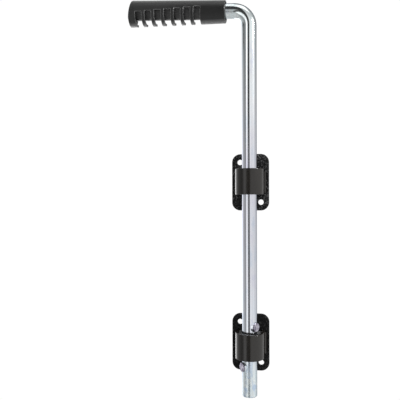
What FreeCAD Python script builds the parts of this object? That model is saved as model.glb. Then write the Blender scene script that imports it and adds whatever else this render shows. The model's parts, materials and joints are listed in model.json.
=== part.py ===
"""Drop bolt for a gate: a bent round rod with a finger grip, guided by two identical wall brackets.

Frame: millimetres, +Z up along the rod. The origin is the centre of the lower plate's back face,
the gate's face is the plane y = 0 and everything stands out from it towards -Y.
"""

import FreeCAD, Part
import math
import os

import Sketcher

from FreeCAD import Placement, Rotation, Vector

DIMENSIONS = {
    # the rod: straight shank, one bend, then the handle, which rises a little as it runs out along -X
    "rod_dia": 16.0,
    "rod_chamfer": 1.0,
    "rod_below": 54.0,
    "handle_height": 358.4,
    "handle_rise": 3.3,
    "bend_radius": 17.0,
    "handle_reach": 126.0,
    # the two brackets
    "bracket_pitch": 175.0,
    "plate_width": 40.5,
    "plate_tall": 62.0,
    "plate_thick": 2.5,
    "plate_corner": 9.0,
    "plate_edge": 0.9,
    "hole_dia": 6.0,
    "hole_across": 22.8,
    "hole_up": 43.8,
    "rod_stand": 14.5,
    "strap_radius": 15.1,
    "strap_thick": 3.0,
    "strap_edge": 0.5,
    "collar_tall": 27.5,
    "weld_leg": 2.0,
    "weld_long": 23.0,
    # nylon guides inside the collars
    "guide_recess": 1.5,
    "guide_bore": 16.6,
    "key_width": 13.0,
    "seat_dia": 21.4,
    "bush_dia": 21.2,
    "bush_bore": 16.12,
    "flange_dia": 24.0,
    "flange_thick": 1.1,
    "lip_dia": 22.6,
    "lip_tall": 1.2,
    "lip_lead": 0.4,
    "end_play": 0.3,
    "split_width": 1.2,
    # the countersunk screw that holds each guide from behind
    "screw_dia": 4.0,
    "screw_head": 7.4,
    "screw_long": 5.5,
    "screw_slot": 0.8,
    # locking lugs, welded to the rod above and below the lower collar
    "lug_dia": 9.6,
    "lug_edge": 0.6,
    "lug_reach": 9.9,
    "lug_above": 20.4,
    "lug_beneath": 22.4,
    "upper_lug_turn": -36.0,
    "lower_lug_turn": 215.0,
    "bead_foot": 11.6,
    "bead_start": 6.4,
    "bead_end": 8.6,
    "bead_over": 0.15,
    # the grip: a tapered shell round a core tube, its underside cut into bands for the fingers
    "grip_start": 25.0,
    "grip_long": 106.0,
    "grip_small": 24.0,
    "grip_large": 28.9,
    "grip_drop": 0.9,
    "grip_sag": 3.4,
    "grip_wall": 2.4,
    "grip_mouth": 19.4,
    "mouth_deep": 4.0,
    "grip_round": 2.0,
    "grip_lip": 0.8,
    "grip_lean": 6.5,
    "core_small": 17.8,
    "core_large": 21.4,
    "slot_count": 7,
    "slot_pitch": 10.7,
    "slot_width": 7.2,
    "slot_first": 55.0,
    "slot_high": 1.4,
    "slot_fall": 1.0,
    "window_back": 5.0,
    "window_extra": 4.0,
    "window_high": 3.0,
}

doc = FreeCAD.newDocument("drop_bolt")
sheet = doc.addObject("Spreadsheet::Sheet", "Sheet")
for row, (alias, value) in enumerate(DIMENSIONS.items(), start=1):
    sheet.set(f"A{row}", alias)
    sheet.set(f"B{row}", str(value))
    sheet.setAlias(f"B{row}", alias)
doc.recompute()

UP = Vector(0, 0, 1)
finished = []


def size(alias):
    """A driving dimension as a plain number."""
    return float(sheet.get(alias))


ROD_Y = -size("plate_thick") - size("rod_stand")
BRACKETS = {"lower": 0.0, "upper": size("bracket_pitch")}
RISE = math.radians(size("handle_rise"))
TALL_CUT = 2 * size("collar_tall")


def bind(thing, **expressions):
    """Tie sizes of an object to the sheet; each expression's words are the sheet's aliases."""
    for name, text in expressions.items():
        words = [f"Sheet.{word}" if word in DIMENSIONS else word for word in text.split()]
        thing.setExpression(name, " ".join(words))
    return thing


def primitive(kind, name, at=Vector(), turn=Rotation(), **expressions):
    """A Part primitive with its sizes bound to the sheet, placed in the object's frame."""
    thing = bind(doc.addObject(f"Part::{kind}", name), **expressions)
    thing.Placement = Placement(at, turn)
    return thing


def cut(name, base, *tools):
    """The base less each tool in turn."""
    for number, tool in enumerate(tools, start=1):
        result = doc.addObject("Part::Cut", name if number == len(tools) else f"{name}_less_{number}")
        result.Base = base
        result.Tool = tool
        base = result
    return base


def fuse(name, *shapes):
    """All the shapes as one, without leftover seams."""
    joined = doc.addObject("Part::MultiFuse", name)
    joined.Shapes = list(shapes)
    joined.Refine = True
    return joined


def keep(thing, label):
    """Count an object as a finished sub-part; its label names its file."""
    thing.Label = label
    finished.append(thing)
    return thing


def sketch_on(body, role, name):
    """A sketch on one of the body's own origin planes."""
    sketch = body.newObject("Sketcher::SketchObject", name)
    plane = next(item for item in body.Origin.OriginFeatures if item.Role == role)
    sketch.AttachmentSupport = (plane, [""])
    sketch.MapMode = "FlatFace"
    return sketch


def hold(sketch, kind, places, value, text):
    """A dimension in a sketch, bound to the sheet."""
    number = sketch.addConstraint(Sketcher.Constraint(kind, *places, value))
    bind(sketch, **{f"Constraints[{number}]": text})


def rectangle(sketch, across, up):
    """A rectangle centred on the sketch's origin."""
    half_x, half_y = size(across) / 2, size(up) / 2
    corners = [Vector(x * half_x, y * half_y, 0) for x, y in ((-1, -1), (1, -1), (1, 1), (-1, 1))]
    for number, start in enumerate(corners):
        sketch.addGeometry(Part.LineSegment(start, corners[(number + 1) % 4]), False)
    for number in range(4):
        sketch.addConstraint(Sketcher.Constraint("Coincident", number, 2, (number + 1) % 4, 1))
        sketch.addConstraint(Sketcher.Constraint("Vertical" if number % 2 else "Horizontal", number))
    sketch.addConstraint(Sketcher.Constraint("Symmetric", 0, 1, 2, 1, -1, 1))
    hold(sketch, "DistanceX", (0, 1, 0, 2), 2 * half_x, across)
    hold(sketch, "DistanceY", (1, 1, 1, 2), 2 * half_y, up)


def circle(sketch, diameter, across=None, up=None, sign=1):
    """A circle on the origin, or half of two spacings away from it."""
    offset = Vector(sign * size(across) / 2, -sign * size(up) / 2, 0) if across else Vector()
    number = sketch.addGeometry(Part.Circle(offset, UP, size(diameter) / 2), False)
    if across:
        hold(sketch, "DistanceX", (-1, 1, number, 3), offset.x, f"{sign} * {across} / 2")
        hold(sketch, "DistanceY", (-1, 1, number, 3), offset.y, f"{-sign} * {up} / 2")
    else:
        sketch.addConstraint(Sketcher.Constraint("Coincident", number, 3, -1, 1))
    hold(sketch, "Diameter", (number,), size(diameter), diameter)


def edges_where(shape, test):
    """The numbers of the edges that pass a test."""
    return [number for number, edge in enumerate(shape.Edges, start=1) if test(edge)]


def lies_at(edge, axis, level):
    """Whether the whole edge lies in the plane where x, y or z has this value."""
    box = edge.BoundBox
    low, high = getattr(box, f"{axis}Min"), getattr(box, f"{axis}Max")
    return abs(low - level) < 1e-3 and abs(high - level) < 1e-3


def fillet(body, name, base, numbers, radius):
    """A fillet feature on the base's numbered edges."""
    rounded = body.newObject("PartDesign::Fillet", name)
    rounded.Base = (base, [f"Edge{number}" for number in numbers])
    bind(rounded, Radius=radius)
    doc.recompute()
    return rounded


def bracket_plate(side, level):
    """Rounded plate with two screw holes on a diagonal and a countersunk hole behind the collar."""
    thick = size("plate_thick")
    body = doc.addObject("PartDesign::Body", f"{side}_plate")
    face = sketch_on(body, "XZ_Plane", f"{side}_plate_face")
    rectangle(face, "plate_width", "plate_tall")
    pad = body.newObject("PartDesign::Pad", f"{side}_plate_pad")
    pad.Profile = face
    bind(pad, Length="plate_thick")
    doc.recompute()
    upright = edges_where(pad.Shape, lambda edge: edge.BoundBox.YLength > thick - 0.01)
    corners = fillet(body, f"{side}_plate_corners", pad, upright, "plate_corner")
    front = edges_where(corners.Shape, lambda edge: lies_at(edge, "Y", -thick))
    rim = fillet(body, f"{side}_plate_rim", corners, front, "plate_edge")

    drilled = sketch_on(body, "XZ_Plane", f"{side}_plate_drilled")
    circle(drilled, "hole_dia", "hole_across", "hole_up", sign=1)
    circle(drilled, "hole_dia", "hole_across", "hole_up", sign=-1)
    holes = body.newObject("PartDesign::Pocket", f"{side}_plate_holes")
    holes.Profile = drilled
    holes.Type = "ThroughAll"
    holes.Reversed = True
    doc.recompute()

    behind = sketch_on(body, "XZ_Plane", f"{side}_plate_behind")
    circle(behind, "screw_dia")
    sink = body.newObject("PartDesign::Hole", f"{side}_plate_sink")
    sink.Profile = behind
    doc.recompute()
    sink.Reversed = True
    sink.DepthType = "ThroughAll"
    sink.HoleCutType = "Countersink"
    sink.HoleCutCountersinkAngle = 90
    bind(sink, Diameter="screw_dia", HoleCutDiameter="screw_head")
    doc.recompute()

    before = rim.Shape.Volume
    for feature in (holes, sink):
        if feature.Shape.Volume > before - 1:
            raise RuntimeError(f"{feature.Name} removed nothing")
        before = feature.Shape.Volume
    body.Placement = Placement(Vector(0, 0, level), Rotation())
    keep(body, f"{side}_plate")


def u_block(side, level, name, radius, height):
    """Solid with a U's outline: half a disc in front of the rod's axis, straight sides back to the plate."""
    low = Vector(0, ROD_Y, level)
    front = primitive(
        "Cylinder", f"{side}_{name}_front", low, Rotation(UP, 180), Radius=radius, Height=height
    )
    front.Angle = 180
    back = primitive(
        "Box", f"{side}_{name}_back", low, Length=f"2 * {radius}", Width="rod_stand", Height=height
    )
    doc.recompute()
    for piece in (front, back):
        piece.Placement.Base.z = level - float(piece.Height) / 2
    back.Placement.Base.x = -float(back.Length) / 2
    return fuse(f"{side}_{name}", front, back)


def collar(side, level):
    """Strap bent into a U round the rod, standing on the plate, with softened rims."""
    outer = u_block(side, level, "strap_outside", "strap_radius", "collar_tall")
    inner = u_block(side, level, "strap_inside", "( strap_radius - strap_thick )", "( collar_tall + 2 )")
    strap = cut(f"{side}_strap", outer, inner)
    doc.recompute()
    half = size("collar_tall") / 2

    def on_rim(edge):
        flat = lies_at(edge, "Z", level - half) or lies_at(edge, "Z", level + half)
        return flat and not lies_at(edge, "Y", -size("plate_thick"))

    soft = doc.addObject("Part::Fillet", f"{side}_collar")
    soft.Base = strap
    rims = edges_where(strap.Shape, on_rim)
    soft.Edges = [(number, size("strap_edge"), size("strap_edge")) for number in rims]
    keep(soft, f"{side}_collar")


def collar_weld(side, level, hand, sign):
    """Bead in the corner between one end of the strap and the plate."""
    corner = Vector(sign * size("strap_radius"), -size("plate_thick"), level - size("weld_long") / 2)
    bead = primitive(
        "Cylinder", f"{side}_weld_{hand}", corner, Rotation(UP, -90 if sign > 0 else 180),
        Radius="weld_leg", Height="weld_long",
    )
    bead.Angle = 90
    keep(bead, f"{side}_weld_{hand}")


def along_rod(name, level, diameter):
    """A tall cutting cylinder on the rod's axis, centred on a bracket's level."""
    low = Vector(0, ROD_Y, level - TALL_CUT / 2)
    return primitive("Cylinder", name, low, Radius=f"{diameter} / 2", Height="2 * collar_tall")


def guide(side, level, opening, *extra):
    """Nylon block that fills a collar, with an opening for the rod and a pilot hole for its screw."""
    block = u_block(
        side, level, "guide_block", "( strap_radius - strap_thick )", "( collar_tall - 2 * guide_recess )"
    )
    pilot = primitive(
        "Cylinder", f"{side}_pilot", Vector(0, 0, level), Rotation(Vector(1, 0, 0), 90),
        Radius="screw_dia / 2", Height="screw_long",
    )
    bore = along_rod(f"{side}_guide_bore", level, opening)
    keep(cut(f"{side}_guide", block, pilot, bore, *extra), f"{side}_guide")


def keyway(level):
    """Slot in the lower guide that lets the upper lug drop through it."""
    turn = Rotation(UP, size("upper_lug_turn"))
    corner = turn.multVec(Vector(0, -size("key_width") / 2, 0)) + Vector(0, ROD_Y, level - TALL_CUT / 2)
    return primitive(
        "Box", "lower_keyway", corner, turn,
        Length="strap_radius", Width="key_width", Height="2 * collar_tall",
    )


def guide_screw(side, level):
    """Countersunk screw through the plate into the guide, flush with the plate's back."""
    head_deep = (size("screw_head") - size("screw_dia")) / 2
    into = Rotation(Vector(1, 0, 0), 90)
    head = primitive(
        "Cone", f"{side}_screw_head", Vector(0, 0, level), into,
        Radius1="screw_head / 2", Radius2="screw_dia / 2", Height="( screw_head - screw_dia ) / 2",
    )
    shank = primitive(
        "Cylinder", f"{side}_screw_shank", Vector(0, -head_deep, level), into,
        Radius="screw_dia / 2", Height="screw_long - ( screw_head - screw_dia ) / 2",
    )
    slots = [
        primitive(
            "Box", f"{side}_screw_slot_{number}", Vector(), Rotation(),
            Length="screw_dia", Width="screw_slot", Height="screw_slot",
        )
        for number in (1, 2)
    ]
    long, wide = size("screw_dia"), size("screw_slot")
    slots[0].Placement.Base = Vector(-long / 2, -wide, level - wide / 2)
    slots[1].Placement = Placement(Vector(-wide / 2, -wide, level + long / 2), Rotation(Vector(0, 1, 0), 90))
    keep(cut(f"{side}_guide_screw", fuse(f"{side}_screw_solid", head, shank), *slots), f"{side}_guide_screw")


def bush(level):
    """Round nylon bush in the upper guide: flange on top, snap lip below, four splits that let it in."""
    half = size("collar_tall") / 2 - size("guide_recess")
    play = size("end_play")
    top, bottom = level + half + play, level - half - play
    barrel = primitive(
        "Cylinder", "bush_barrel", Vector(0, ROD_Y, bottom), Radius="bush_dia / 2",
        Height="collar_tall - 2 * guide_recess + 2 * end_play",
    )
    flange = primitive(
        "Cylinder", "bush_flange", Vector(0, ROD_Y, top), Radius="flange_dia / 2", Height="flange_thick"
    )
    lip = primitive(
        "Cone", "bush_lip", Vector(0, ROD_Y, bottom), Rotation(Vector(1, 0, 0), 180),
        Radius1="lip_dia / 2", Radius2="bush_dia / 2 - lip_lead", Height="lip_tall",
    )
    bore = along_rod("bush_hole", level, "bush_bore")
    splits = []
    for number in range(2):
        turn = Rotation(UP, 45 + 90 * number)
        corner = turn.multVec(Vector(-size("flange_dia") / 2, -size("split_width") / 2, 0))
        low = Vector(0, ROD_Y, bottom - size("lip_tall") - 1)
        splits.append(primitive(
            "Box", f"bush_split_{number + 1}", corner + low, turn,
            Length="flange_dia", Width="split_width", Height="collar_tall / 2",
        ))
    keep(cut("upper_bush", fuse("bush_solid", barrel, flange, lip), bore, *splits), "upper_bush")


def bend_end():
    """Where the bend ends and the straight handle begins, and the height where the bend starts."""
    radius = size("bend_radius")
    sweep = math.pi / 2 - RISE
    start = size("handle_height") - radius * math.tan(sweep / 2)
    return Vector(-radius * (1 - math.cos(sweep)), ROD_Y, start + radius * math.sin(sweep)), start


def handle_point(reach):
    """A point on the handle's axis, by its distance from the shank's axis."""
    return Vector(-reach, ROD_Y, size("handle_height") + reach * math.tan(RISE))


HANDLE_TURN = Rotation(Vector(0, 1, 0), -90 + size("handle_rise"))


def rod():
    """One round bar: chamfered shank, one bend, straight handle."""
    bend_over, bend_under = bend_end()
    sweep = 90 - size("handle_rise")
    shank = primitive("Cylinder", "rod_shank", Vector(0, ROD_Y, -size("rod_below")), Radius="rod_dia / 2")
    shank.Height = bend_under + size("rod_below")
    turned = Rotation(Vector(1, 0, 0), 90)
    bend = primitive(
        "Torus", "rod_bend", Vector(-size("bend_radius"), ROD_Y, bend_under), turned,
        Radius1="bend_radius", Radius2="rod_dia / 2",
    )
    bend.Angle3 = sweep
    handle = primitive("Cylinder", "rod_handle", bend_over, HANDLE_TURN, Radius="rod_dia / 2")
    handle.Height = (handle_point(size("handle_reach")) - bend_over).Length
    bar = fuse("rod_bar", shank, bend, handle)
    doc.recompute()
    lowest = edges_where(bar.Shape, lambda edge: lies_at(edge, "Z", -size("rod_below")))
    end = doc.addObject("Part::Chamfer", "bolt_rod")
    end.Base = bar
    end.Edges = [(number, size("rod_chamfer"), size("rod_chamfer")) for number in lowest]
    keep(end, "bolt_rod")


def lug(name, height, turn_degrees):
    """Round lug pointing out of the rod, and the weld bead round its foot."""
    pointing = Rotation(UP, turn_degrees) * Rotation(Vector(0, 1, 0), 90)
    outward = pointing.multVec(UP)
    axis = Vector(0, ROD_Y, height)
    pin = primitive(
        "Cylinder", f"{name}_pin", axis, pointing, Radius="lug_dia / 2", Height="lug_reach"
    )
    doc.recompute()
    near_tip = size("lug_reach") - 0.01
    soft = doc.addObject("Part::Fillet", f"{name}_soft")
    soft.Base = pin
    tip = edges_where(pin.Shape, lambda edge: (edge.CenterOfMass - axis).dot(outward) > near_tip)
    soft.Edges = [(number, size("lug_edge"), size("lug_edge")) for number in tip]
    core = primitive(
        "Cylinder", f"{name}_core", axis - UP * size("lug_dia"), Radius="rod_dia / 2", Height="2 * lug_dia"
    )
    keep(cut(name, soft, core), name)
    foot = axis + outward * size("bead_start")
    cone = primitive(
        "Cone", f"{name}_bead_cone", foot, pointing,
        Radius1="bead_foot / 2", Radius2="lug_dia / 2 + bead_over", Height="bead_end - bead_start",
    )
    keep(cut(f"{name}_weld", cone, core, pin), f"{name}_weld")


def along_handle(kind, name, reach, across=0.0, up=0.0, **expressions):
    """A primitive in the handle's own frame: base at a reach, first axis up, third axis outward."""
    place = handle_point(reach) + HANDLE_TURN.multVec(Vector(up, across, 0))
    return primitive(kind, name, place, HANDLE_TURN, **expressions)


def grip_shell(name, inset):
    """The grip's tapered outline, or one parallel inside it; its axis sinks as it runs out."""
    sink = math.degrees(math.atan2(size("grip_sag") - size("grip_drop"), size("grip_long")))
    shell = along_handle(
        "Cone", name, size("grip_start"), up=-size("grip_drop"),
        Radius1=f"grip_small / 2 - {inset}", Radius2=f"grip_large / 2 - {inset}", Height="grip_long",
    )
    shell.Placement.Rotation = Rotation(Vector(0, 1, 0), -sink) * HANDLE_TURN
    return shell


def grip():
    """Shell with a closed, rounded outer end; slots below leave bands standing clear of a core tube."""
    outward = HANDLE_TURN.multVec(UP)
    cone = grip_shell("grip_cone", "0")
    trim = along_handle(
        "Box", "grip_trim", size("grip_start") + size("grip_long"), across=-size("grip_large"),
        up=-size("grip_large"), Length="2 * grip_large", Width="2 * grip_large", Height="grip_large",
    )
    lean = Rotation(Vector(0, 1, 0), size("grip_lean"))
    hinge = handle_point(size("grip_start") + size("grip_long")) - UP * size("grip_large") / 2
    trim.Placement = Placement(hinge, lean, Vector()) * Placement(-hinge, Rotation()) * trim.Placement
    outside = cut("grip_outside", cone, trim)
    doc.recompute()
    middle = handle_point(size("grip_start") + size("grip_long") / 2)
    rounds = []
    for number, edge in enumerate(outside.Shape.Edges, start=1):
        if edge.Closed and len(edge.Vertexes) == 1:
            outer_end = (edge.CenterOfMass - middle).dot(outward) > 0
            radius = size("grip_round") if outer_end else size("grip_lip")
            rounds.append((number, radius, radius))
    body = doc.addObject("Part::Fillet", "grip_body")
    body.Base = outside
    body.Edges = rounds

    half_slot = size("slot_width") / 2
    low = -size("grip_large")
    first = size("slot_first") - half_slot
    run = (size("slot_count") - 1) * size("slot_pitch") + 2 * half_slot + size("window_extra")
    cuts = []
    for number in range(int(size("slot_count"))):
        slot = along_handle(
            "Box", f"grip_slot_{number + 1}", size("slot_first") + number * size("slot_pitch") - half_slot,
            across=-size("grip_large") / 2, up=low, Width="grip_large", Height="slot_width",
        )
        slot.Length = size("slot_high") - number * size("slot_fall") - low
        cuts.append(slot)
    below = along_handle(
        "Box", "grip_below", first, across=-size("grip_large") / 2, up=low, Width="grip_large"
    )
    below.Length = size("slot_high") - size("slot_fall") * (size("slot_count") - 1) / 2 - low
    below.Height = run
    hollow = doc.addObject("Part::Common", "grip_hollow")
    hollow.Base = below
    hollow.Tool = grip_shell("grip_inside", "grip_wall")
    window = along_handle(
        "Box", "grip_window", first, across=size("window_back"), up=low, Width="grip_large"
    )
    window.Length = size("window_high") - low
    window.Height = run
    opened = cut("grip_opened", body, *cuts, hollow, window)

    core = along_handle(
        "Cone", "grip_core", size("grip_start") + size("mouth_deep"),
        Radius1="core_small / 2", Radius2="core_large / 2",
    )
    core.Height = size("handle_reach") - size("grip_start") - size("mouth_deep")
    bore = along_handle("Cylinder", "grip_bore", size("grip_start") - 1, Radius="rod_dia / 2")
    bore.Height = (handle_point(size("handle_reach")) - handle_point(size("grip_start") - 1)).Length
    mouth = along_handle(
        "Cylinder", "grip_mouth_cut", size("grip_start") - 1,
        Radius="grip_mouth / 2", Height="mouth_deep + 1",
    )
    keep(cut("grip", fuse("grip_solid", opened, core), bore, mouth), "grip")


def check_document():
    """Every object computed, and every sub-part a valid solid."""
    doc.recompute()
    for thing in doc.Objects:
        if "Invalid" in thing.State or "Error" in thing.State:
            raise RuntimeError(f"{thing.Name} failed: {thing.State}")
    for thing in finished:
        if thing.Shape.isNull() or not thing.Shape.isValid() or thing.Shape.Volume < 1:
            raise RuntimeError(f"{thing.Label} has no valid solid")
        if len(thing.Shape.Solids) != 1:
            raise RuntimeError(f"{thing.Label} is {len(thing.Shape.Solids)} solids")


for side, level in BRACKETS.items():
    bracket_plate(side, level)
    collar(side, level)
    collar_weld(side, level, "left", -1)
    collar_weld(side, level, "right", 1)
    guide_screw(side, level)
guide("lower", BRACKETS["lower"], "guide_bore", keyway(BRACKETS["lower"]))
guide("upper", BRACKETS["upper"], "seat_dia")
bush(BRACKETS["upper"])
rod()
lug("upper_lug", size("lug_above"), size("upper_lug_turn"))
lug("lower_lug", -size("lug_beneath"), size("lower_lug_turn"))
grip()

check_document()
os.makedirs("parts", exist_ok=True)
for thing in finished:
    thing.Shape.exportStep(os.path.join("parts", f"{thing.Label}.step"))
    box = thing.Shape.BoundBox
    extent = f"{box.XLength:6.1f} {box.YLength:6.1f} {box.ZLength:6.1f}"
    print(f"{thing.Label:18s} {thing.Shape.Volume:10.1f} mm3  {extent}")
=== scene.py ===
"""Looks of the gate drop bolt: bright zinc rod, black powder-coated brackets, black moulded grip."""

import json
import math

import bpy
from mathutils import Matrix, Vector

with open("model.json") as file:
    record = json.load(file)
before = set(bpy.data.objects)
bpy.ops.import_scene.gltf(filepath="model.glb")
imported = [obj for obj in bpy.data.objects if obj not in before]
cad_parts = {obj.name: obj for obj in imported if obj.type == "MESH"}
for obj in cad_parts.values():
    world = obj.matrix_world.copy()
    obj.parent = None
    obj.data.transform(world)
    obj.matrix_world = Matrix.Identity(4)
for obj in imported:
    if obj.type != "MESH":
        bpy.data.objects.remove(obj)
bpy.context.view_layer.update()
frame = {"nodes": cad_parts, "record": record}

MM = 0.001
ROD_OUT = 17 * MM  # the rod's axis, out from the gate
HANDLE_UP = 358.4 * MM  # the handle's axis where it meets the rod's
HANDLE_SLOPE = math.tan(math.radians(3.3))
GRIP_TAPER = 0.0467  # how much lower the grip's underside lies for each unit further out
GRIP_UNDERSIDE = 11.7 * MM  # how far it would lie below the handle's axis at the rod's axis
PANEL_TOP = 2.5  # the brightness at the top of the panels' ramp
STUDIO_GAIN = 1.5 * PANEL_TOP
FLOOR_LEVEL = -1.0


# --- node helpers ---------------------------------------------------------------------------


class Shader:
    """A material's node tree with short ways to add and join nodes."""

    def __init__(self, name):
        self.material = bpy.data.materials.new(name)
        self.material.use_nodes = True
        self.tree = self.material.node_tree
        self.surface = self.tree.nodes["Principled BSDF"]
        self.place = self.add("ShaderNodeTexCoord").outputs["Object"]

    def add(self, kind, **settings):
        node = self.tree.nodes.new(kind)
        for name, value in settings.items():
            setattr(node, name, value)
        return node

    def join(self, source, target):
        self.tree.links.new(source, target)

    def base(self, **values):
        """Constants set straight on the shader's sockets."""
        for name, value in values.items():
            self.surface.inputs[name.replace("_", " ")].default_value = value

    def stretched(self, scale):
        """Object coordinates scaled along each axis."""
        mapping = self.add("ShaderNodeMapping")
        mapping.inputs["Scale"].default_value = scale
        self.join(self.place, mapping.inputs["Vector"])
        return mapping.outputs["Vector"]

    def noise(self, scale, detail=3.0, roughness=0.5, stretch=(1, 1, 1), distortion=0.0):
        node = self.add("ShaderNodeTexNoise")
        node.inputs["Scale"].default_value = scale
        node.inputs["Detail"].default_value = detail
        node.inputs["Roughness"].default_value = roughness
        node.inputs["Distortion"].default_value = distortion
        self.join(self.stretched(stretch), node.inputs["Vector"])
        return node.outputs["Fac"]

    def coordinates(self):
        """Place on the object in metres: across, out from the gate and up."""
        parts = self.add("ShaderNodeSeparateXYZ")
        self.join(self.place, parts.inputs[0])
        return parts.outputs

    def ramp(self, factor, *stops):
        """Colours or greys by position along a factor."""
        node = self.add("ShaderNodeValToRGB")
        elements = node.color_ramp.elements
        while len(elements) < len(stops):
            elements.new(0.5)
        for element, (position, colour) in zip(elements, stops):
            element.position = position
            element.color = (*colour, 1.0) if isinstance(colour, tuple) else (colour,) * 3 + (1.0,)
        self.join(factor, node.inputs["Fac"])
        return node.outputs["Color"]

    def math(self, operation, *values):
        node = self.add("ShaderNodeMath", operation=operation)
        for socket, value in zip(node.inputs, values):
            if isinstance(value, (int, float)):
                socket.default_value = value
            else:
                self.join(value, socket)
        return node.outputs["Value"]

    def mix(self, factor, first, second, blend="MIX"):
        node = self.add("ShaderNodeMix", data_type="RGBA", blend_type=blend)
        sockets = (node.inputs[0], node.inputs[6], node.inputs[7])
        for socket, value in zip(sockets, (factor, first, second)):
            if isinstance(value, (int, float)):
                socket.default_value = value
            elif isinstance(value, tuple):
                socket.default_value = (*value, 1.0)
            else:
                self.join(value, socket)
        return node.outputs[2]

    def edge_highlight_mask(self, radius):
        """1 on sharp edges, 0 on open faces, by how far softened normals lean from the true ones."""
        soft = self.add("ShaderNodeBevel", samples=8)
        soft.inputs["Radius"].default_value = radius
        lean = self.add("ShaderNodeVectorMath", operation="DOT_PRODUCT")
        self.join(soft.outputs["Normal"], lean.inputs[0])
        self.join(self.add("ShaderNodeNewGeometry").outputs["True Normal"], lean.inputs[1])
        return self.ramp(lean.outputs["Value"], (0.72, 1.0), (0.96, 0.0))

    def bumps(self, *layers, edge=0.0):
        """Bump from (height, distance in metres) layers over edges softened by a radius in metres."""
        normal = None
        if edge:
            soft = self.add("ShaderNodeBevel", samples=6)
            soft.inputs["Radius"].default_value = edge
            normal = soft.outputs["Normal"]
        for height, distance in layers:
            node = self.add("ShaderNodeBump")
            node.inputs["Strength"].default_value = 1.0
            node.inputs["Distance"].default_value = distance
            self.join(height, node.inputs["Height"])
            if normal is not None:
                self.join(normal, node.inputs["Normal"])
            normal = node.outputs["Normal"]
        self.join(normal, self.surface.inputs["Normal"])


# --- materials ------------------------------------------------------------------------------


def bright_zinc():
    """Drawn bar, zinc plated: faint lengthwise draw lines, cool blotches, and a duller, stained foot."""
    shade = Shader("bright_zinc")
    shade.base(Metallic=1.0, Specular_Tint=(0.40, 0.42, 0.48, 1.0))
    blotch = shade.noise(38, detail=4, stretch=(1, 1, 0.35))
    wash = shade.noise(150, detail=5, roughness=0.65, stretch=(1, 1, 0.3))
    cloud = shade.ramp(
        wash, (0.34, (0.86, 0.91, 0.95)), (0.45, (0.98, 1.0, 1.0)),
        (0.56, (1.0, 0.99, 0.98)), (0.68, (0.88, 0.88, 0.95)),
    )
    along = shade.math("ADD", shade.coordinates()[2], shade.math("MULTIPLY_ADD", blotch, 0.06, 0.05))
    film = shade.ramp(
        along, (0.02, (0.86, 0.93, 0.97)), (0.07, (0.86, 0.91, 0.97)), (0.14, (0.88, 0.90, 0.97)),
        (0.26, (0.88, 0.885, 0.97)), (0.34, (0.94, 0.96, 1.0)), (0.43, (0.91, 0.98, 0.99)),
    )
    tint = shade.mix(1.0, film, cloud, "MULTIPLY")
    drawn = shade.noise(700, detail=2, stretch=(1, 1, 0.012))
    streak = shade.ramp(drawn, (0.35, 0.86), (0.60, 1.0))
    foot = shade.ramp(along, (0.045, 1.0), (0.075, 0.0))
    stain = shade.noise(170, detail=4, stretch=(1, 1, 0.4), distortion=0.5)
    stained = shade.ramp(
        stain, (0.38, (0.66, 0.79, 0.94)), (0.50, (0.94, 1.0, 1.0)), (0.60, (0.80, 0.91, 0.96))
    )
    bare = shade.mix(1.0, tint, streak, "MULTIPLY")
    shade.join(shade.mix(foot, bare, stained), shade.surface.inputs["Base Color"])
    satin = shade.ramp(blotch, (0.3, 0.08), (0.7, 0.15))
    dull = shade.ramp(stain, (0.38, 0.42), (0.60, 0.26))
    shade.join(shade.mix(foot, satin, dull), shade.surface.inputs["Roughness"])
    shade.bumps((drawn, 0.003 * MM), (shade.noise(260, detail=3), 0.010 * MM))
    return shade.material


def textured_black():
    """Pebbled powder coat, its high grains lighter, and the whole coat darker on the lower plate than on
    the upper one.
    """
    shade = Shader("textured_black")
    shade.base(Specular_IOR_Level=0.22)
    grain = shade.noise(640, detail=3, roughness=0.7)
    patch = shade.noise(120, detail=3)
    speckle = shade.ramp(grain, (0.45, 0.0004), (0.54, 0.005), (0.64, 0.13))
    coat = shade.mix(0.25, speckle, shade.ramp(patch, (0.35, 0.001), (0.7, 0.010)))
    # the whole coat darker on the lower plate and lighter on the upper one, by height
    height_tone = shade.ramp(shade.coordinates()[2], (0.06, 0.35), (0.11, 1.3))
    shade.join(shade.mix(1.0, coat, height_tone, "MULTIPLY"), shade.surface.inputs["Base Color"])
    shade.join(shade.ramp(grain, (0.3, 0.48), (0.7, 0.66)), shade.surface.inputs["Roughness"])
    shade.bumps((grain, 0.16 * MM), (shade.noise(420, detail=2), 0.12 * MM), edge=0.5 * MM)
    return shade.material


def smooth_black():
    """Smoother coat on the bent strap: light orange peel and a warm cast."""
    shade = Shader("smooth_black")
    shade.base(IOR=1.58)
    patch = shade.noise(60, detail=3, stretch=(1, 1, 0.4))
    shade.join(
        shade.ramp(patch, (0.3, (0.008, 0.0065, 0.005)), (0.7, (0.014, 0.0115, 0.009))),
        shade.surface.inputs["Base Color"],
    )
    shade.join(shade.ramp(patch, (0.3, 0.18), (0.7, 0.24)), shade.surface.inputs["Roughness"])
    peel, sag = shade.noise(700, detail=2), shade.noise(180, detail=2)
    shade.bumps((peel, 0.012 * MM), (sag, 0.03 * MM), edge=0.6 * MM)
    return shade.material


def moulded_nylon():
    """Dark grey nylon with a matt moulded skin."""
    shade = Shader("moulded_nylon")
    flow = shade.noise(90, detail=4, distortion=0.6)
    shade.join(shade.ramp(flow, (0.3, 0.10), (0.7, 0.15)), shade.surface.inputs["Base Color"])
    shade.join(shade.ramp(flow, (0.3, 0.42), (0.7, 0.55)), shade.surface.inputs["Roughness"])
    shade.bumps((shade.noise(1200, detail=2), 0.01 * MM),)
    return shade.material


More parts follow.
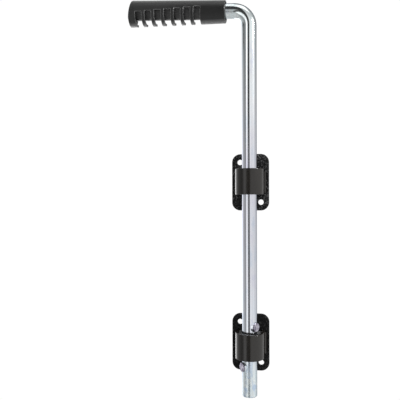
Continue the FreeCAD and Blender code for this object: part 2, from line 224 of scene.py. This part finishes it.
def grip_plastic():
    """Black moulded grip: satin skin, fine spark grain, lighter towards its outer end; painted highlights
    on its edges, painted light on its lower side and on the core inside the slots.
    """
    shade = Shader("grip_plastic")
    shade.base(IOR=1.46, Specular_IOR_Level=0.55)
    flow = shade.noise(45, detail=4, stretch=(0.4, 1, 1), distortion=0.4)
    across, out, up = shade.coordinates()
    above = shade.math("ADD", shade.math("MULTIPLY_ADD", across, HANDLE_SLOPE, up), -HANDLE_UP)
    aside = shade.math("ADD", out, ROD_OUT)
    square = shade.math("ADD", shade.math("POWER", above, 2), shade.math("POWER", aside, 2))
    radius = shade.math("SQRT", square)
    # painted light: inside the slots the core is lightened to a plain dark grey, against the shade of its
    # recess
    painted_light_core = shade.ramp(shade.math("MULTIPLY", radius, 50), (0.535, 1.0), (0.575, 0.0))
    # the grip's colour lighter towards its outer end
    lighter_outwards = shade.ramp(shade.math("MULTIPLY", across, -10), (0.6, 0.012), (1.25, 0.034))
    skin = shade.mix(0.5, lighter_outwards, shade.ramp(flow, (0.3, 0.013), (0.7, 0.021)))
    # painted light on the core inside the slots
    skin = shade.mix(painted_light_core, skin, (0.045, 0.045, 0.045))
    lowness = shade.math("ADD", shade.math("MULTIPLY_ADD", across, -GRIP_TAPER, above), GRIP_UNDERSIDE)
    # painted light: the grip's lower side, below its tapering line, is lightened to grey as if lit from
    # below
    painted_light_underside = shade.ramp(shade.math("MULTIPLY", lowness, 200), (0.05, 0.75), (0.48, 0.0))
    skin = shade.mix(painted_light_underside, skin, (0.24, 0.24, 0.24))
    # painted highlight: sharp edges lightened to grey, standing in for light caught on their rounded rims
    skin_with_painted_light = shade.mix(shade.edge_highlight_mask(1.0 * MM), skin, (0.48, 0.48, 0.48))
    shade.join(skin_with_painted_light, shade.surface.inputs["Base Color"])
    grain = shade.noise(1100, detail=2)
    shade.join(shade.ramp(flow, (0.3, 0.30), (0.7, 0.38)), shade.surface.inputs["Roughness"])
    shade.bumps((grain, 0.02 * MM), (shade.noise(160, detail=2), 0.03 * MM), edge=0.7 * MM)
    return shade.material


def plain_steel():
    """Zinc-plated screw heads, duller than the rod."""
    shade = Shader("plain_steel")
    shade.base(Metallic=1.0)
    dull = shade.noise(400, detail=3)
    shade.join(shade.ramp(dull, (0.3, 0.45), (0.7, 0.62)), shade.surface.inputs["Base Color"])
    shade.join(shade.ramp(dull, (0.3, 0.30), (0.7, 0.45)), shade.surface.inputs["Roughness"])
    shade.bumps((dull, 0.01 * MM),)
    return shade.material


def burnt_zinc():
    """Plated lug after welding: greyer and faintly purple, with random darker mottling."""
    shade = Shader("burnt_zinc")
    shade.base(Metallic=1.0)
    mottle = shade.noise(300, detail=4, distortion=0.5)
    burnt = shade.ramp(
        mottle, (0.36, (0.13, 0.12, 0.17)), (0.50, (0.40, 0.37, 0.46)), (0.66, (0.66, 0.65, 0.72))
    )
    shade.join(burnt, shade.surface.inputs["Base Color"])
    shade.join(shade.ramp(mottle, (0.3, 0.34), (0.7, 0.22)), shade.surface.inputs["Roughness"])
    shade.bumps((mottle, 0.05 * MM), edge=0.4 * MM)
    return shade.material


FINISHES = {
    "zinc_steel": bright_zinc(),
    "black_plate": textured_black(),
    "black_collar": smooth_black(),
    "nylon": moulded_nylon(),
    "grip_black": grip_plastic(),
    "screw_steel": plain_steel(),
}


def paint_nodes():
    """Each CAD node gets the finish that the record's slot names; welding has dulled the lugs."""
    lug_finish = burnt_zinc()
    for entry in frame["record"]["subparts"]:
        mesh = frame["nodes"][entry["node"]].data
        mesh.materials.clear()
        lug = entry["node"].endswith("_lug")
        mesh.materials.append(lug_finish if lug else FINISHES[entry["material_slot"]])


paint_nodes()


# --- stage ----------------------------------------------------------------------------------


def backdrop_material():
    """Matt pale paper that glows for the camera only, so that it meets the white wall with no line."""
    shade = Shader("pale_backdrop")
    shade.base(Roughness=1.0, Specular_IOR_Level=0.0, Emission_Color=(0.7, 0.7, 0.7, 1.0))
    seen = shade.add("ShaderNodeLightPath").outputs["Is Camera Ray"]
    shade.join(seen, shade.surface.inputs["Emission Strength"])
    paper = shade.ramp(shade.noise(6, detail=4), (0.3, 0.74), (0.7, 0.80))
    shade.join(paper, shade.surface.inputs["Base Color"])
    return shade.material


def stage_floor():
    """A large pale floor well below the bolt, so that it catches no hard shadow."""
    bpy.ops.mesh.primitive_plane_add(size=4, location=(0, 0, FLOOR_LEVEL))
    floor = bpy.context.object
    floor.name = "floor"
    floor.data.materials.append(backdrop_material())


def area_light(name, place, target, width, height, power):
    """A rectangular white lamp aimed at a point."""
    data = bpy.data.lights.new(name, "AREA")
    data.shape = "RECTANGLE"
    data.size = width
    data.size_y = height
    data.energy = power
    lamp = bpy.data.objects.new(name, data)
    lamp.location = place
    lamp.rotation_euler = (Vector(target) - Vector(place)).to_track_quat("-Z", "Y").to_euler()
    bpy.context.scene.collection.objects.link(lamp)


def studio_world():
    """Light tent: brightness by compass direction, from -Y (the open front) round to the white back.

    The tent's front has a narrow dark gap between its panels, with a dim slit of light low down in it.
    The left panel is dimmer than the right one, and the wall behind the object is plain white.
    """
    world = bpy.data.worlds.new("studio")
    world.use_nodes = True
    tree = world.node_tree

    def add(kind, **settings):
        node = tree.nodes.new(kind)
        for name, value in settings.items():
            setattr(node, name, value)
        return node

    def joined(kind, *values, **settings):
        node = add(kind, **settings)
        for socket, value in zip(node.inputs, values):
            if isinstance(value, (int, float)):
                socket.default_value = value
            else:
                tree.links.new(value, socket)
        return node.outputs[0]

    parts = add("ShaderNodeSeparateXYZ")
    tree.links.new(add("ShaderNodeTexCoord").outputs["Generated"], parts.inputs[0])
    east, north, up = parts.outputs
    front = joined("ShaderNodeMath", north, -1.0, operation="MULTIPLY")
    heading = joined("ShaderNodeMath", east, front, operation="ARCTAN2")
    turn = joined("ShaderNodeMath", heading, 1 / (2 * math.pi), 0.5, operation="MULTIPLY_ADD")

    def at(degrees):
        """Place along the turn of a heading: degrees round from the front, + to the right."""
        return degrees / 360 + 0.5

    panels = add("ShaderNodeValToRGB")
    stops = (
        # heading in degrees, and brightness
        (-180, 0.55), (-172, 0.60), (-163, 2.20), (-142, 2.50), (-128, 1.30), (-112, 0.72), (-95, 0.48),
        (-62, 0.28), (-50, 0.34), (-40, 1.05), (-23, 0.98), (-17, 0.05), (6, 0.03), (13, 0.76), (60, 0.74),
        (95, 0.72), (120, 0.62), (150, 0.55), (180, 0.55),
    )
    elements = panels.color_ramp.elements
    while len(elements) < len(stops):
        elements.new(0.5)
    for element, (degrees, bright) in zip(elements, stops):
        element.position = at(degrees)
        element.color = (bright / PANEL_TOP,) * 3 + (1,)
    tree.links.new(turn, panels.inputs["Fac"])

    def grey_ramp(factor, *positions):
        """Greys by position along a factor."""
        ramp = add("ShaderNodeValToRGB")
        while len(ramp.color_ramp.elements) < len(positions):
            ramp.color_ramp.elements.new(0.5)
        for stop, (position, grey) in zip(ramp.color_ramp.elements, positions):
            stop.position = position
            stop.color = (grey, grey, grey, 1)
        tree.links.new(factor, ramp.inputs["Fac"])
        return ramp.outputs["Color"]

    height = joined("ShaderNodeMath", up, 0.5, 0.5, operation="MULTIPLY_ADD")
    front_rise = grey_ramp(
        height, (0.30, 0.84), (0.42, 0.70), (0.525, 0.66), (0.63, 0.86), (0.70, 0.80), (0.825, 0.50)
    )
    back_rise = grey_ramp(height, (0.30, 0.76), (0.42, 0.68), (0.525, 0.66), (0.60, 0.50), (0.66, 0.40))
    ahead = grey_ramp(turn, (at(-50.4), 0), (at(-39.6), 1), (at(86.4), 1), (at(108), 0))
    spread = joined("ShaderNodeMath", front_rise, back_rise, operation="SUBTRACT")
    rise = joined("ShaderNodeMath", ahead, spread, back_rise, operation="MULTIPLY_ADD")
    slit_across = grey_ramp(turn, (at(-10.8), 0), (at(-9.36), 0.13), (at(-6.48), 0.13), (at(-5.04), 0))
    slit_below = grey_ramp(height, (0.55, 1), (0.575, 0))
    slit = joined("ShaderNodeMath", slit_across, slit_below, operation="MULTIPLY")
    lit = add("ShaderNodeVectorMath", operation="SCALE")
    tree.links.new(panels.outputs["Color"], lit.inputs["Vector"])
    tree.links.new(rise, lit.inputs["Scale"])
    studio = joined("ShaderNodeMixRGB", 1.0, lit.outputs["Vector"], slit, blend_type="ADD")
    background = tree.nodes["Background"]
    tree.links.new(studio, background.inputs["Color"])
    background.inputs["Strength"].default_value = STUDIO_GAIN

    wall = add("ShaderNodeBackground")
    wall.inputs["Color"].default_value = (1, 1, 1, 1)
    wall.inputs["Strength"].default_value = 1.02
    seen = add("ShaderNodeMixShader")
    tree.links.new(add("ShaderNodeLightPath").outputs["Is Camera Ray"], seen.inputs[0])
    tree.links.new(background.outputs[0], seen.inputs[1])
    tree.links.new(wall.outputs[0], seen.inputs[2])
    tree.links.new(seen.outputs[0], tree.nodes["World Output"].inputs["Surface"])
    bpy.context.scene.world = world


def make_camera():
    """Level camera, a little to the right of the bolt and looking back across it."""
    data = bpy.data.cameras.new("camera")
    data.lens = 50
    data.sensor_width = 36
    data.clip_start = 0.01
    camera = bpy.data.objects.new("camera", data)
    camera.location = (0.0494, -0.6126, 0.1518)
    camera.rotation_euler = (math.radians(90.354), math.radians(0.08), math.radians(9.822))
    bpy.context.scene.collection.objects.link(camera)
    bpy.context.scene.camera = camera


bpy.context.scene.view_settings.view_transform = "Standard"
make_camera()
stage_floor()
studio_world()
area_light("top_soft", (0.2, -0.3, 1.5), (0, 0, 0.3), 1.0, 0.8, 2.4)
area_light("right_key", (1.1, -0.35, 0.85), (-0.08, -0.02, 0.36), 0.25, 0.25, 14)
